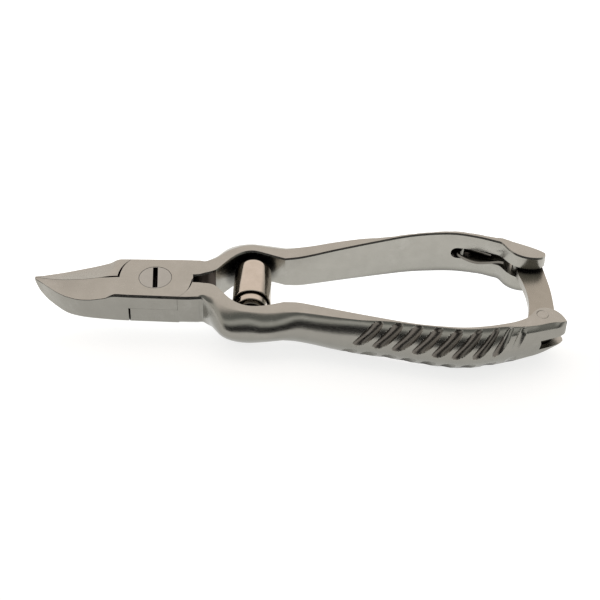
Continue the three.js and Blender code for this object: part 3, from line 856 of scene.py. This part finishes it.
# Painted shade: the next two are darker steels for the flutes and the notch, standing in for shadow and dark
# reflections.
FLUTE_SHADE = steel("flute_painted_shade", (0.17, 0.155, 0.137), (0.13, 0.117, 0.1), 0.27, 0.04, 0.35, ALONG_X)
NOTCH_SHADE = steel("notch_painted_shade", (0.075, 0.062, 0.053), (0.05, 0.042, 0.036), 0.3, 0.04, 0.35, ALONG_X)
BAR = steel(
    "bar_steel_finish", (0.275, 0.26, 0.225), (0.235, 0.22, 0.185), 0.27, 0.02, 0.04,
    (1600.0, 220.0, 1600.0), depth=0.00001,
)
SCREW = steel(
    "screw_steel_finish", (0.305, 0.302, 0.28), (0.268, 0.264, 0.245), 0.22, 0.04, 0.3,
    (4200.0, 700.0, 4200.0),
)
CHROME = steel(
    "polished_steel_finish", (0.44, 0.395, 0.34), (0.37, 0.33, 0.275), 0.12, 0.03, 0.12,
    (6000.0, 500.0, 6000.0), depth=0.00001, blotch=0.6, scuff=0.1,
)
SPRING = steel(
    "spring_steel_finish", (0.15, 0.14, 0.122), (0.11, 0.1, 0.088), 0.2, 0.05, 0.3,
    (700.0, 5200.0, 5200.0),
)

# ---- pieces ---------------------------------------------------------------------
lower, upper = build_front_lever(), build_back_lever()
placed(lower, "front_handle_lever", ["lower_lever"], SATIN, 12)
placed(upper, "back_handle_lever", ["upper_lever"], SATIN, 12)
# Painted shade: darker materials on the upper flutes and on the notch's upright faces stand in for shadow and
# dark reflections.
for forging in (lower, upper):
    paint_shade_on(forging, FLUTE_SHADE, in_flute)
    paint_shade_on(forging, NOTCH_SHADE, in_notch)
placed(build_screw(), "front_handle_lever", ["pivot_screw"], SCREW)
placed(build_outer_sleeve(), "outer_barrel", ["outer_sleeve"], CHROME)
placed(build_inner_sleeve(), "inner_barrel", ["inner_sleeve"], CHROME)
placed(build_coil(), "inner_barrel", ["barrel_spring"], SPRING)
placed(build_stud("back_bow_stud", 1), "back_handle_lever", ["back_stud"], SCREW)
placed(build_stud("front_bow_stud", -1), "front_handle_lever", ["front_stud"], SCREW)
placed(build_lock_bar(), "lock", ["lock_bar"], BAR)
lock_pin = build_pin("lock_bar_rivet", LOCK_PIN, LOCK_PIN_R, -1.1, 10.08)
catch_pin = build_pin("catch_rivet", CATCH_PIN, CATCH_PIN_R, -1.3, 8.6)
spring_pin = build_pin("lock_spring_rivet", SPRING_PIN, SPRING_PIN_R, -1.8, 8.6, 0.08)
placed(lock_pin, "front_handle_lever", ["lock_bar_pin"], SATIN)
placed(catch_pin, "back_handle_lever", ["catch_pin"], SATIN)
placed(spring_pin, "back_handle_lever", ["lock_spring_pin"], SATIN)
placed(build_lock_spring(), "back_handle_lever", ["lock_spring"], SPRING, 35)


# ---- floor, light and camera ------------------------------------------------------
def paper():
    """Glowing white paper, with a painted pool of light: the glow is a little less bright in front of the
    nipper.
    """
    material = bpy.data.materials.new("studio_paper")
    tree = cleared(material)
    place = node(tree, "ShaderNodeTexCoord", {}).outputs["Object"]
    y = node(tree, "ShaderNodeSeparateXYZ", {"Vector": place}).outputs["Y"]
    surface = node(tree, "ShaderNodeBsdfPrincipled", {
        "Base Color": (0.42, 0.42, 0.42, 1),
        "Roughness": 0.9,
        "Specular IOR Level": 0.0,
        "Emission Color": (1.0, 1.0, 0.995, 1),
        # Painted light: the glow rises from the front to behind the handles, a pool of light on the paper.
        "Emission Strength": remap(tree, y, (-0.014, 0.003), (0.74, 1.14), "SMOOTHSTEP"),
    })
    node(tree, "ShaderNodeOutputMaterial", {"Surface": surface.outputs["BSDF"]})
    return material


FLOOR_R = 5  # metres
low = min(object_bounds()[0][2], cad_box[0][2])
floor_mesh = bpy.data.meshes.new("studio_floor")
floor_mesh.from_pydata([(x, y, 0) for x, y in circle(0, 0, FLOOR_R, 64)], [], [tuple(range(64))])
floor = bpy.data.objects.new("studio_floor", floor_mesh)
floor.location = (0.04, 0, low - 0.0002)
bpy.context.scene.collection.objects.link(floor)
floor_mesh.materials.append(paper())

# The sky's light by the angle from the front horizon over the top to the back one: degrees, red, green, blue.
SKY = [
    (0, 0.012, 0.012, 0.013), (27, 0.012, 0.012, 0.013), (38, 0.9, 0.9, 0.87), (50, 0.9, 0.9, 0.87),
    (60, 0.24, 0.25, 0.24), (87, 0.24, 0.25, 0.24), (100, 1.38, 1.26, 1.19), (160, 1.38, 1.26, 1.19),
    (174, 1.15, 1.08, 1.02), (180, 1.15, 1.08, 1.02),
]
LEFT_LIGHT = (0.9, 0.88, 0.84, 1)
RIGHT_LIGHT = (0.34, 0.35, 0.33, 1)


def build_world():
    """The sky above, with a light of its own at the jaws' end and another at the grips' end."""
    world = bpy.data.worlds.new("studio")
    bpy.context.scene.world = world
    tree = cleared(world)
    place = node(tree, "ShaderNodeTexCoord", {}).outputs["Generated"]
    way = node(tree, "ShaderNodeSeparateXYZ", {"Vector": place}).outputs
    swing = maths(tree, "ARCTAN2", way["Z"], maths(tree, "MULTIPLY", way["Y"], -1.0))
    sky = node(tree, "ShaderNodeValToRGB", {"Fac": maths(tree, "DIVIDE", swing, math.pi)})
    sky.color_ramp.interpolation = "LINEAR"
    stops = sky.color_ramp.elements
    while len(stops) < len(SKY):
        stops.new(0.5)
    for stop, (degrees, *_) in zip(stops, SKY):
        stop.position = degrees / 180
    for stop, (_, *colour) in zip(stops, SKY):
        stop.color = (*colour, 1)
    left = remap(tree, maths(tree, "MULTIPLY", way["X"], -1.0), (0.8, 0.93), shape="SMOOTHSTEP")
    right = remap(tree, way["X"], (0.5, 0.76), shape="SMOOTHSTEP")
    light = mix(tree, right, mix(tree, left, sky.outputs["Color"], LEFT_LIGHT), RIGHT_LIGHT)
    background = node(tree, "ShaderNodeBackground", {"Color": light, "Strength": 1.0})
    node(tree, "ShaderNodeOutputWorld", {"Surface": background.outputs["Background"]})


def build_camera(position, target, roll):
    """A long lens at position, looking at target, and rolled about its own line of sight."""
    forward = (target - position).normalized()
    level = forward.cross(Vector((0, 0, 1))).normalized()
    over = level.cross(forward)
    right = level * math.cos(roll) + over * math.sin(roll)
    up = over * math.cos(roll) - level * math.sin(roll)
    lens = bpy.data.cameras.new("camera")
    lens.lens = 90
    lens.sensor_width = 36
    lens.clip_start = 0.01
    camera = bpy.data.objects.new("camera", lens)
    camera.matrix_world = Matrix.Translation(position) @ Matrix((right, up, -forward)).transposed().to_4x4()
    bpy.context.scene.collection.objects.link(camera)
    bpy.context.scene.camera = camera


CAMERA_AT = Vector((0.0395, -0.29998, 0.27032))
CAMERA_TARGET = Vector((0.03853, -0.00252, 0.0045))
build_world()
build_camera(CAMERA_AT, CAMERA_TARGET, math.radians(1.33))
bpy.context.scene.view_settings.view_transform = "Standard"
